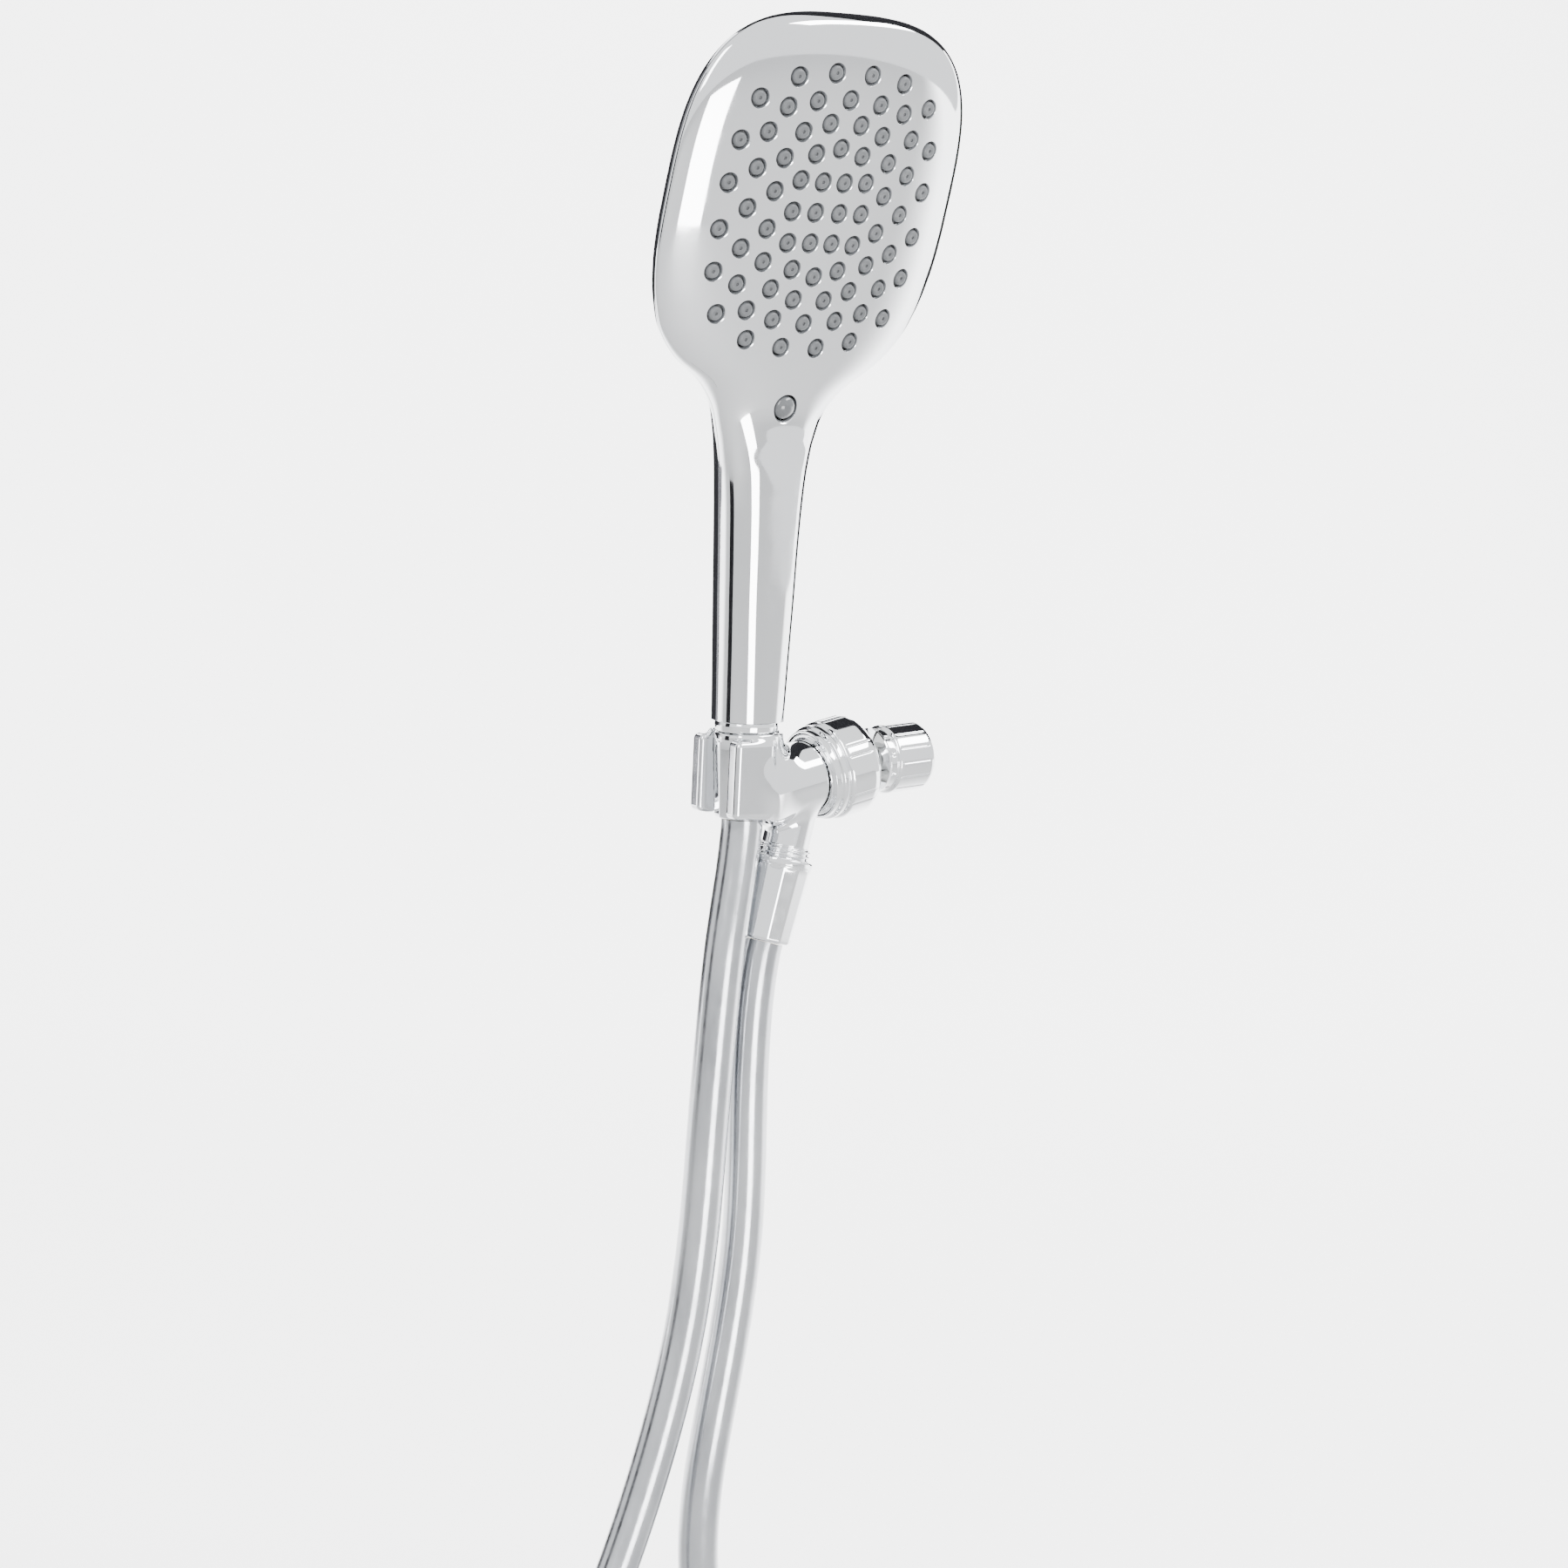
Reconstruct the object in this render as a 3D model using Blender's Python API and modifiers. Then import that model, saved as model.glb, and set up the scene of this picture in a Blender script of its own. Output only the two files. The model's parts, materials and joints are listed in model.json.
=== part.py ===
"""Handheld shower head with hose, cradle bracket and swivel inlet, in metres, +Z up.

The origin is the centre of the inlet mouth, where the wall pipe screws in. +Y points to the wall,
+X to the right of someone who faces the wall. All driving sizes are in millimetres.
"""
import math

import bmesh
import bpy
from mathutils import Matrix, Vector

MM = 0.001
GAP = 0.3

# Swivel inlet and bracket arm
INLET_SLOPE = math.radians(3.8)
ARM_SLOPE = math.radians(11.6)
MOUTH_FROM_BALL = 35.0
CRADLE_FROM_BALL = 49.0
BALL_R = 10.0
SEAT_IN_R = BALL_R + GAP
SEAT_OUT_R = 12.0
SOCKET_R = SEAT_OUT_R + GAP
ARM_R = 14.3
ARM_START = 10.0 - CRADLE_FROM_BALL
SOCKET_THREAD_R = 16.2

# Cradle, which holds the hose's cone nut
CRADLE_HALF_X = 15.5
CRADLE_FRONT = -14.3
CRADLE_BACK = 3.0
CRADLE_Z = (-7.0, 23.0)
SLOT_HALF = 8.6

# Hose nuts and outlet stub
NUT_LENGTH = 33.0
NUT_TOP_R = 12.3
NUT_END_R = 10.6
NUT_LOW_Z = -8.5
THREAD_R = 10.2
STUB_ALONG_ARM = 27.7
STUB_TILT = math.radians(13.0)
STUB_R = 9.3
STUB_NUT_START = 31.4

# Handset: the face is tilted forward of the handle
FACE_TILT = math.radians(15.8)
FACE_CENTRE = (36.3, 221.5)
CROWN_DEPTH = 12.0
REAR_DEPTH = 20.0
HEAD_HALF_WIDTH = 64.2
HEAD_TOP = 71.4
SHELL = 1.8
HANDLE_BOTTOM = 29.3
BUTTON_T = -75.5

# Neck sections below the face's centre: distance along the face, half width, rear depth, squareness
NECK = [
    (-76.4, 26.6, 15.6, 2.4), (-69.0, 33.6, 16.2, 2.3), (-61.2, 45.0, 16.9, 2.2),
    (-51.6, 54.0, 17.6, 2.1), (-40.1, 59.4, 18.4, 2.05), (-24.8, 63.0, 19.3, 2.0),
    (-7.6, HEAD_HALF_WIDTH, REAR_DEPTH, 2.0),
]

# Nozzle centres in one quarter of the face, measured across and along it from its centre
NOZZLE_QUARTER = [
    (8.1, 51.9), (24.0, 49.5), (38.5, 40.5), (43.2, 24.7), (44.4, 8.7),
    (0.0, 42.5), (14.3, 41.3), (26.4, 38.3), (32.6, 28.7), (34.2, 15.1), (34.9, 0.0),
    (7.0, 33.4), (18.0, 29.7), (23.7, 19.6), (25.0, 7.1),
    (0.0, 24.4), (10.5, 21.9), (4.9, 11.6), (14.9, 11.9), (5.4, 0.0), (15.7, 0.0),
]
NOZZLE_R = 2.5
NOZZLE_HOLE_R = 3.2

# Hose
HOSE_R = 8.0
# Route under the cradle: x, y, z from the cradle axis, from the cone nut down and back to the stub
HOSE_ROUTE = [
    (0.0, 0.0, -8.8), (0.0, 0.0, -16.0), (0.4, -1.8, -30.0), (1.8, -6.6, -58.0), (1.8, -10.2, -112.0),
    (1.0, -12.4, -171.0), (0.0, -16.4, -210.0), (-1.0, -25.0, -250.0), (-2.0, -41.5, -301.0),
    (-4.0, -61.0, -348.0), (-6.0, -82.0, -396.0), (-8.5, -98.0, -444.0), (-11.0, -103.0, -492.0),
    (-13.0, -92.0, -537.0), (-14.5, -64.0, -571.0), (-15.0, -25.0, -583.5), (-14.5, 14.0, -573.0),
    (-13.0, 42.0, -540.0), (-11.0, 52.0, -496.0), (-9.0, 47.0, -448.0), (-6.0, 32.0, -401.0),
    (-4.0, 11.0, -356.0), (-2.0, -3.0, -312.0), (-0.5, -4.4, -276.0), (0.0, -1.0, -250.0),
    (0.0, 5.2, -213.0), (0.0, 9.2, -177.0), (0.0, 9.4, -144.0), (0.0, 8.4, -112.0),
    (0.0, 9.3, -77.0), (0.0, 10.8, -65.3), (0.0, 12.6, -57.5),
]

COLOURS = {
    "chrome": ((0.80, 0.81, 0.83), 0.06, 1.0),
    "hose_silver": ((0.66, 0.68, 0.70), 0.28, 0.7),
    "grey_rubber": ((0.22, 0.23, 0.24), 0.45, 0.0),
    "black_rubber": ((0.03, 0.03, 0.03), 0.6, 0.0),
    "white_plastic": ((0.80, 0.80, 0.78), 0.4, 0.0),
    "grey_plastic": ((0.35, 0.36, 0.37), 0.4, 0.0),
    "brass": ((0.75, 0.58, 0.28), 0.25, 1.0),
    "steel": ((0.62, 0.62, 0.62), 0.3, 1.0),
}

inlet_dir = Vector((0, math.cos(INLET_SLOPE), math.sin(INLET_SLOPE)))
arm_dir = Vector((0, math.cos(ARM_SLOPE), math.sin(ARM_SLOPE)))
stub_dir = Vector((0, -math.sin(STUB_TILT), -math.cos(STUB_TILT)))
ball_at = -MOUTH_FROM_BALL * inlet_dir
cradle_at = ball_at - CRADLE_FROM_BALL * arm_dir
stub_at = cradle_at + STUB_ALONG_ARM * arm_dir
face_up = Vector((math.sin(FACE_TILT), 0, math.cos(FACE_TILT)))
face_out = Vector((math.cos(FACE_TILT), 0, -math.sin(FACE_TILT)))
face_at = cradle_at + Vector((FACE_CENTRE[0], 0, FACE_CENTRE[1]))


def clear_scene():
    for thing in list(bpy.data.objects):
        bpy.data.objects.remove(thing, do_unlink=True)
    for group in list(bpy.data.collections):
        bpy.data.collections.remove(group)


def new_collection(name):
    group = bpy.data.collections.new(name)
    bpy.context.scene.collection.children.link(group)
    return group


def placed(origin, z_axis, x_axis=(1, 0, 0)):
    """Matrix of a local frame in millimetres whose +Z runs along z_axis."""
    z = Vector(z_axis).normalized()
    x = Vector(x_axis)
    x = (x - x.dot(z) * z).normalized()
    y = z.cross(x)
    turn = Matrix((x, y, z)).transposed().to_4x4()
    return Matrix.Translation(Vector(origin) * MM) @ turn


def finish_object(thing, group, kind):
    for owner in list(thing.users_collection):
        owner.objects.unlink(thing)
    group.objects.link(thing)
    if kind is None:
        thing.hide_render = True
        thing.display_type = "WIRE"
        return thing
    colour, roughness, metallic = COLOURS[kind]
    skin = bpy.data.materials.new(thing.name + "_skin")
    skin.use_nodes = True
    shader = skin.node_tree.nodes["Principled BSDF"]
    shader.inputs["Base Color"].default_value = (*colour, 1)
    shader.inputs["Roughness"].default_value = roughness
    shader.inputs["Metallic"].default_value = metallic
    thing.data.materials.append(skin)
    return thing


def mesh_object(name, points, faces, matrix, group, kind, edges=()):
    mesh = bpy.data.meshes.new(name)
    mesh.from_pydata([Vector(p) * MM for p in points], list(edges), faces)
    thing = bpy.data.objects.new(name, mesh)
    thing.matrix_world = matrix
    finish_object(thing, group, kind)
    if faces:
        mesh.shade_smooth()
        mesh.set_sharp_from_angle(angle=math.radians(35))
    return thing


def turned(name, profile, matrix, group, kind, sides=20, closed=True):
    """A turned piece from (radius, height) points that run down the outside, then up the inside."""
    points = [(r, 0, z) for r, z in profile]
    edges = [(i, i + 1) for i in range(len(points) - 1)]
    if closed:
        edges.append((len(points) - 1, 0))
    thing = mesh_object(name, points, [], matrix, group, kind, edges)
    screw = thing.modifiers.new("turn", "SCREW")
    screw.axis = "Z"
    screw.angle = math.tau
    screw.steps = sides
    screw.render_steps = sides
    screw.use_merge_vertices = True
    screw.merge_threshold = 1e-6
    screw.use_smooth_shade = True
    return thing


def rod(name, radius, low, high, matrix, group, kind=None, sides=24, top_radius=None):
    top = radius if top_radius is None else top_radius
    profile = [(0, high), (top, high), (radius, low), (0, low)]
    return turned(name, profile, matrix, group, kind, sides, closed=False)


def block(name, low, high, matrix, group, kind=None, bevel=0.0):
    bm = bmesh.new()
    bmesh.ops.create_cube(bm, size=1.0)
    for v in bm.verts:
        v.co = Vector([(low[i] + (v.co[i] + 0.5) * (high[i] - low[i])) * MM for i in range(3)])
    mesh = bpy.data.meshes.new(name)
    bm.to_mesh(mesh)
    bm.free()
    thing = bpy.data.objects.new(name, mesh)
    thing.matrix_world = matrix
    finish_object(thing, group, kind)
    if bevel:
        rounding = thing.modifiers.new("rounding", "BEVEL")
        rounding.width = bevel * MM
        rounding.segments = 2
        rounding.limit_method = "ANGLE"
    return thing


def combine(thing, other, operation):
    step = thing.modifiers.new(operation.lower(), "BOOLEAN")
    step.operation = operation
    step.object = other
    step.solver = "EXACT"
    return thing


def sphere_arc(radius, from_deg, to_deg, steps):
    """Points on a circle about the origin, by angle from +Z."""
    angles = [math.radians(from_deg + (to_deg - from_deg) * i / steps) for i in range(steps + 1)]
    return [(radius * math.sin(a), radius * math.cos(a)) for a in angles]


def ring_profile(outer, inner, low, high):
    return [(inner, high), (outer, high), (outer, low), (inner, low)]


def nut_profile(entry_depth):
    """Cone nut from its wide thread end at 0 down to its hose end."""
    lip = 0.8
    end = -NUT_LENGTH
    waist = -entry_depth
    return [
        (THREAD_R + GAP, 0), (NUT_TOP_R - lip, 0), (NUT_TOP_R, -lip), (NUT_TOP_R, -2.6),
        (NUT_TOP_R - 0.2, -3.2), (NUT_END_R, end + lip), (NUT_END_R - lip, end),
        (8.5, end), (8.5, waist), (THREAD_R + GAP, waist),
    ]


# ---------------------------------------------------------------- inlet and swivel joint

def make_inlet(parts):
    at_ball = placed(ball_at, inlet_dir)
    body = [
        (10.2, 35.0), (12.4, 35.0), (13.5, 33.4), (13.5, 18.0), (12.2, 17.2), (12.2, 13.8),
        (12.9, 13.4), (12.9, 12.4), (6.5, 12.4),
    ]
    body += sphere_arc(BALL_R, 41, 157, 7)
    body += [(4.0, 13.9), (5.6, 13.9), (5.6, 19.4), (7.0, 19.4), (7.0, 21.0), (10.2, 21.0)]
    turned("ball_connector", body, at_ball, parts, "chrome", 24)
    turned("inlet_washer", ring_profile(9.9, 6.2, 21.3, 23.3), at_ball, parts, "black_rubber")
    turned("inlet_screen", ring_profile(6.7, 0.8, 19.7, 20.7), at_ball, parts, "steel", 16)
    turned("flow_restrictor", ring_profile(5.3, 1.5, 14.2, 19.1), at_ball, parts, "white_plastic", 16)
    front = sphere_arc(SEAT_OUT_R, 46, 70, 3) + sphere_arc(SEAT_IN_R, 70, 46, 3)
    turned("front_seat", front, at_ball, parts, "white_plastic")
    at_arm = placed(ball_at, arm_dir)
    rear = sphere_arc(SEAT_OUT_R, 105, 145, 4) + sphere_arc(SEAT_IN_R, 145, 105, 4)
    turned("rear_seat", rear, at_arm, parts, "black_rubber")
    ring = [
        (10.6, 6.7), (12.8, 6.7), (17.0, 5.3), (19.5, 0.8), (19.5, -9.6), (18.0, -10.8),
        (18.6, -11.8), (18.6, -13.6), (17.4, -14.4), (17.4, -16.8), (16.6, -16.8), (16.6, -1.2),
    ]
    ring += sphere_arc(SOCKET_R, 95.6, 59.5, 4)
    turned("ring_nut", ring, at_arm, parts, "chrome", 24)


# ---------------------------------------------------------------- bracket

def make_bracket(parts, cutters):
    at_cradle = placed(cradle_at, (0, 0, 1))
    at_ball = placed(ball_at, arm_dir)
    at_stub = placed(stub_at, -stub_dir)
    low = (-CRADLE_HALF_X, CRADLE_FRONT, CRADLE_Z[0])
    high = (CRADLE_HALF_X, CRADLE_BACK, CRADLE_Z[1])
    body = block("bracket_body", low, high, at_cradle, parts, "chrome", bevel=1.2)
    back = rod("cradle_back", ARM_R, CRADLE_Z[0], CRADLE_Z[1] + 2.4, at_cradle, cutters, sides=28)
    arm = [
        (0, -1.6), (14.2, -1.6), (SOCKET_THREAD_R, -1.6), (SOCKET_THREAD_R, -16.5),
        (ARM_R, -18.5), (ARM_R, ARM_START), (7.5, ARM_START - 7), (0, ARM_START - 7),
    ]
    arm_tube = turned("arm_tube", arm, at_ball, cutters, None, 28, closed=False)
    stub = [(0, 0), (STUB_R, 0), (STUB_R, -26.5), (THREAD_R, -27.2), (THREAD_R, -41.8), (0, -41.8)]
    stub_tube = turned("stub_tube", stub, at_stub, cutters, None, 20, closed=False)
    for extra in (back, arm_tube, stub_tube):
        combine(body, extra, "UNION")
    taper = (NUT_TOP_R - NUT_END_R) / NUT_LENGTH
    fit = NUT_END_R + 0.35
    bore = rod("cone_bore", fit - taper * 16, NUT_LOW_Z - 16, 30, at_cradle, cutters, sides=28,
               top_radius=NUT_TOP_R + 0.35 + taper * 5.5)
    slot = block("cradle_slot", (-SLOT_HALF, -30, -20), (SLOT_HALF, -2, 40), at_cradle, cutters)
    bowl = [(0, 1), (SOCKET_R, 1)] + sphere_arc(SOCKET_R, 90, 150, 5)
    bowl += [(6.0, -11.0), (6.0, -25.0), (0, -25.0)]
    socket = turned("ball_socket", bowl, at_ball, cutters, None, 24, closed=False)
    way = rod("stub_way", 6.5, -45, -4, at_stub, cutters, sides=16)
    for cut in (bore, slot, socket, way):
        combine(body, cut, "DIFFERENCE")
    at_nut = placed(stub_at + STUB_NUT_START * stub_dir, -stub_dir)
    turned("lower_nut", nut_profile(16.0), at_nut, parts, "chrome", 28)
    hose_fittings("lower", at_nut, parts)


def hose_fittings(where, at_nut, parts):
    """Washer and crimped hose insert inside a cone nut, measured down from the nut's wide end."""
    turned(where + "_hose_washer", ring_profile(9.9, 5.0, -12.8, -10.8), at_nut, parts, "black_rubber")
    insert = [
        (4.0, -13.1), (9.9, -13.1), (9.9, -15.2), (8.1, -15.6), (8.1, -NUT_LENGTH), (4.0, -NUT_LENGTH),
    ]
    turned(where + "_hose_insert", insert, at_nut, parts, "brass")


# ---------------------------------------------------------------- handset

def superellipse(fraction, power):
    return max(0.0, 1 - abs(fraction) ** power) ** (1 / power)


def handset_sections(inset):
    """Sections from the handle's foot to the head's top, drawn in by the inset.

    Each is: parting point x and z, tilt, half width, front height, rear depth, front squareness.
    """
    handle = [
        (0.0, HANDLE_BOTTOM, 0, 13.6, 12.9, 13.6, 2.5),
        (0.0, 50.0, 0, 14.3, 13.2, 14.2, 2.6),
        (0.0, 75.0, 0, 15.3, 13.6, 14.8, 2.7),
        (0.0, 98.0, 1, 16.2, 14.0, 15.2, 2.7),
        (0.2, 115.0, 3, 17.2, 14.2, 15.4, 2.7),
        (0.9, 128.0, 7, 18.7, 13.9, 15.6, 2.6),
        (2.0, 139.0, 12, 21.2, 13.0, 15.6, 2.5),
    ]
    found = [
        (x, z, math.radians(tilt), width - inset, front - inset, rear - inset, power)
        for x, z, tilt, width, front, rear, power in handle
    ]
    rows = [
        (t, width - inset, CROWN_DEPTH - inset, rear - inset, power) for t, width, rear, power in NECK
    ]
    for turn in (12, 28, 42, 54, 65, 75, 83):
        share = math.sin(math.radians(turn))
        rows.append((
            (HEAD_TOP - inset) * share, (HEAD_HALF_WIDTH - inset) * superellipse(share, 3.1),
            (CROWN_DEPTH - inset) * superellipse(share, 3.6),
            (REAR_DEPTH - inset) * superellipse(share, 2.4), 2.0,
        ))
    for t, width, front, rear, power in rows:
        x = FACE_CENTRE[0] + t * face_up.x - CROWN_DEPTH * face_out.x
        z = FACE_CENTRE[1] + t * face_up.z - CROWN_DEPTH * face_out.z
        found.append((x, z, FACE_TILT, width, front, rear, power))
    return found


def crown(s, t):
    """How far the face's outer surface lies behind the face plane's centre height."""
    share = max(t, 0) / HEAD_TOP
    width = HEAD_HALF_WIDTH * superellipse(share, 3.1)
    height = CROWN_DEPTH * superellipse(share, 3.6)
    power = 2.0
    for low, high in zip(NECK, NECK[1:]):
        if low[0] <= t < high[0]:
            part = (t - low[0]) / (high[0] - low[0])
            width = low[1] + part * (high[1] - low[1])
            power = low[3] + part * (high[3] - low[3])
    return height * superellipse(s / width, power) - CROWN_DEPTH


def handset_half(name, side, group, kind):
    """Front (side +1) or rear (side -1) half of the handset: a moulding with an inner wall."""
    across = 12
    points = []
    for inset in (0.0, SHELL):
        for x, z, tilt, width, front, rear, power in handset_sections(inset):
            height = front if side > 0 else rear
            power = power if side > 0 else 2.0
            out = Vector((math.cos(tilt), 0, -math.sin(tilt)))
            for j in range(across + 1):
                a = math.pi * j / across
                s = width * math.copysign(abs(math.cos(a)) ** (2 / power), math.cos(a))
                q = height * abs(math.sin(a)) ** (2 / power) + 0.15
                points.append(Vector((x, s, z)) + side * q * out)
        top = Vector((FACE_CENTRE[0], 0, FACE_CENTRE[1])) + (HEAD_TOP - inset) * face_up
        points.append(top + (side * 0.15 - CROWN_DEPTH) * face_out)
    layer = len(points) // 2
    last = layer - 2 - across
    faces = []
    for start in (0, layer):
        for a in range(start, start + last, across + 1):
            for j in range(across):
                faces.append([a + j, a + j + across + 1, a + j + across + 2, a + j + 1])
        for j in range(across):
            faces.append([start + last + j, start + layer - 1, start + last + j + 1])
    for j in range(across):
        faces.append([j, j + 1, layer + j + 1, layer + j])
    for edge in (0, across):
        rim = list(range(edge, layer - 1, across + 1)) + [layer - 1]
        for a, b in zip(rim, rim[1:]):
            faces.append([a, b, layer + b, layer + a])
    bm = bmesh.new()
    corners = [bm.verts.new(p * MM) for p in points]
    for face in faces:
        bm.faces.new([corners[i] for i in face])
    bmesh.ops.recalc_face_normals(bm, faces=bm.faces)
    mesh = bpy.data.meshes.new(name)
    bm.to_mesh(mesh)
    bm.free()
    mesh.shade_smooth()
    mesh.set_sharp_from_angle(angle=math.radians(35))
    thing = bpy.data.objects.new(name, mesh)
    thing.matrix_world = placed(cradle_at, (0, 0, 1))
    return finish_object(thing, group, kind)


def nozzle_points():
    found = []
    for s, t in NOZZLE_QUARTER:
        for a in ((s, -s) if s else (s,)):
            for b in ((t, -t) if t else (t,)):
                found.append((a, b))
    return found


def studs(name, radius, tip_radius, low, high, group, sides=6):
    """One mesh of all the nozzle-shaped studs, each standing on the curved face."""
    bm = bmesh.new()
    for s, t in nozzle_points():
        base = crown(s, t)
        at = Matrix.Translation(Vector((s, t, base + (low + high) / 2)) * MM)
        bmesh.ops.create_cone(
            bm, cap_ends=True, segments=sides, radius1=radius * MM, radius2=tip_radius * MM,
            depth=(high - low) * MM, matrix=at,
        )
    mesh = bpy.data.meshes.new(name)
    bm.to_mesh(mesh)
    bm.free()
    thing = bpy.data.objects.new(name, mesh)
    thing.matrix_world = head_frame()
    finish_object(thing, group, None)
    return thing


def head_frame():
    """Local X across the face, Y up it and Z out of it."""
    return placed(face_at, face_out, (0, 1, 0))


def rounded_slab(name, half, low, high, group, kind, follow_crown=False):
    """A slab with the nozzle field's outline, flat or following the face's curve."""
    around = 28
    shares = (0.5, 1.0) if follow_crown else (1.0,)
    points = []
    for level in (high, low):
        points.append((0, 0, level))
        for share in shares:
            for i in range(around):
                a = math.tau * i / around
                c, d = math.cos(a), math.sin(a)
                size = share / (abs(c) ** 3.6 + abs(d) ** 3.6) ** (1 / 3.6)
                s, t = half[0] * c * size, half[1] * d * size
                points.append((s, t, level + (crown(s, t) if follow_crown else 0)))
    layer = len(points) // 2
    faces = []
    for start, flip in ((0, False), (layer, True)):
        for i in range(around):
            j = (i + 1) % around
            found = [[start, start + 1 + i, start + 1 + j]]
            for ring in range(len(shares) - 1):
                a = start + 1 + ring * around
                found.append([a + i, a + around + i, a + around + j, a + j])
            faces += [f[::-1] if flip else f for f in found]
    edge = 1 + (len(shares) - 1) * around
    for i in range(around):
        j = (i + 1) % around
        faces.append([edge + i, layer + edge + i, layer + edge + j, edge + j])
    return mesh_object(name, points, faces, head_frame(), group, kind)


def make_head(parts, cutters):
    handset_half("rear_shell", -1, parts, "chrome")
    plate = handset_half("face_plate", 1, parts, "chrome")
    combine(plate, studs("nozzle_holes", NOZZLE_HOLE_R, NOZZLE_HOLE_R, -5, 5, cutters), "DIFFERENCE")
    at_button = head_frame() @ Matrix.Translation(Vector((0, BUTTON_T, 0)) * MM)
    combine(plate, rod("button_hole", 5.0, -4, 6, at_button, cutters, sides=20), "DIFFERENCE")
    mat = rounded_slab("nozzle_mat", (49.0, 55.5), -3.4, -2.2, parts, "grey_rubber", True)
    combine(mat, studs("nozzle_studs", NOZZLE_R, NOZZLE_R * 0.8, -2.8, 0.7, cutters), "UNION")
    disc = rounded_slab("spray_disc", (47.5, 53.5), -10.8, -9.0, parts, "white_plastic")
    pocket = rounded_slab("way_through", (20.0, 24.0), -12.0, -8.0, cutters, None)
    combine(disc, pocket, "DIFFERENCE")
    outer, inner = (42.5, 47.0), (39.9, 44.4)
    cover = rounded_slab("chamber_cover", outer, -20.6, -12.6, parts, "white_plastic")
    at_neck = placed(face_at - 16.7 * face_out, face_up)
    combine(cover, rod("spigot", 3.8, BUTTON_T + 11.5, -44, at_neck, cutters, sides=16), "UNION")
    room = rounded_slab("chamber_room", inner, -18.6, -12.0, cutters, None)
    combine(cover, room, "DIFFERENCE")
    combine(cover, rod("spigot_way", 2.4, BUTTON_T + 9, -43, at_neck, cutters, sides=16), "DIFFERENCE")
    seal = rounded_slab("chamber_seal", outer, -12.3, -11.1, parts, "black_rubber")
    combine(seal, rounded_slab("seal_room", inner, -14.0, -10.0, cutters, None), "DIFFERENCE")
    for side in (-1, 1):
        at_screw = head_frame() @ Matrix.Translation(Vector((side * 30, 0, 0)) * MM)
        name = "cover_screw_left" if side < 0 else "cover_screw_right"
        turned(name, ring_profile(2.6, 0.9, -22.6, -20.9), at_screw, parts, "steel", 12)


def make_button(parts, cutters):
    at_button = head_frame() @ Matrix.Translation(Vector((0, BUTTON_T, 0)) * MM)
    cap = [(0, 1.9), (1.8, 1.6), (3.4, 0.8), (4.4, -0.6), (4.4, -3.6), (1.6, -3.6), (1.6, -6.4), (0, -6.4)]
    turned("mode_button", cap, at_button, parts, "grey_rubber", 20, closed=False)
    spool = [(0, -6.7), (2.4, -6.7), (2.4, -8.5), (1.4, -8.9), (1.4, -13.5), (2.4, -13.9), (2.4, -15.5), (0, -15.5)]
    turned("diverter_spool", spool, at_button, parts, "white_plastic", 16, closed=False)
    at_neck = placed(face_at - 14.6 * face_out, face_up)
    body = rod("diverter_body", 7.6, BUTTON_T - 9.6, BUTTON_T + 11.2, at_neck, parts, "grey_plastic", 20)
    combine(body, rod("spool_bore", 2.8, -20.0, 0, at_button, cutters, sides=16), "DIFFERENCE")
    combine(body, rod("body_way", 2.4, BUTTON_T - 12, BUTTON_T + 14, at_neck, cutters, sides=12), "DIFFERENCE")
    turned("button_seal", ring_profile(3.6, 1.9, -4.5, -3.9), at_button, parts, "black_rubber", 16)
    coil = []
    for i in range(25):
        a = math.tau * i / 8
        coil.append((1.9 * math.cos(a), 1.9 * math.sin(a), -18.9 + 3.0 * i / 24))
    tube_object("button_spring", coil, 0.22, at_button, parts, "steel", 1)


def make_handle(parts):
    foot = placed(cradle_at, (0, 0, 1))
    nipple = [
        (7.0, 44.0), (9.8, 44.0), (9.8, 29.4), (12.1, 29.0), (12.1, 25.2), (11.4, 24.8),
        (THREAD_R, 24.7), (THREAD_R, 14.2), (5.0, 14.2), (5.0, 32.0), (7.0, 32.0),
    ]
    turned("handle_nipple", nipple, foot, parts, "chrome", 24)
    turned("water_tube", ring_profile(5.9, 4.4, 32.4, 140.5), foot, parts, "white_plastic", 16)
    turned("tube_seal", ring_profile(6.85, 6.05, 39.0, 41.0), foot, parts, "black_rubber", 16)
    nut_at = placed(cradle_at + Vector((0, 0, NUT_LOW_Z + NUT_LENGTH)), (0, 0, 1))
    turned("cone_nut", nut_profile(16.0), nut_at, parts, "chrome", 28)
    hose_fittings("upper", nut_at, parts)


# ---------------------------------------------------------------- hose

def tube_object(name, points, radius, matrix, group, kind, resolution):
    curve = bpy.data.curves.new(name, "CURVE")
    curve.dimensions = "3D"
    curve.bevel_depth = radius * MM
    curve.bevel_resolution = resolution
    curve.use_fill_caps = True
    spline = curve.splines.new("POLY")
    spline.points.add(len(points) - 1)
    for item, point in zip(spline.points, points):
        item.co = (*(Vector(point) * MM), 1)
    thing = bpy.data.objects.new(name, curve)
    thing.matrix_world = matrix
    return finish_object(thing, group, kind)


def smooth_route(knots, spacing):
    """Points along a centripetal spline through the knots, about one every spacing."""
    found = []
    ends = [2 * knots[0] - knots[1], *knots, 2 * knots[-1] - knots[-2]]
    for a, b, c, d in zip(ends, ends[1:], ends[2:], ends[3:]):
        count = max(1, round((c - b).length / spacing))
        for i in range(count):
            found.append(catmull(a, b, c, d, i / count))
    return found + [knots[-1]]


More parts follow.
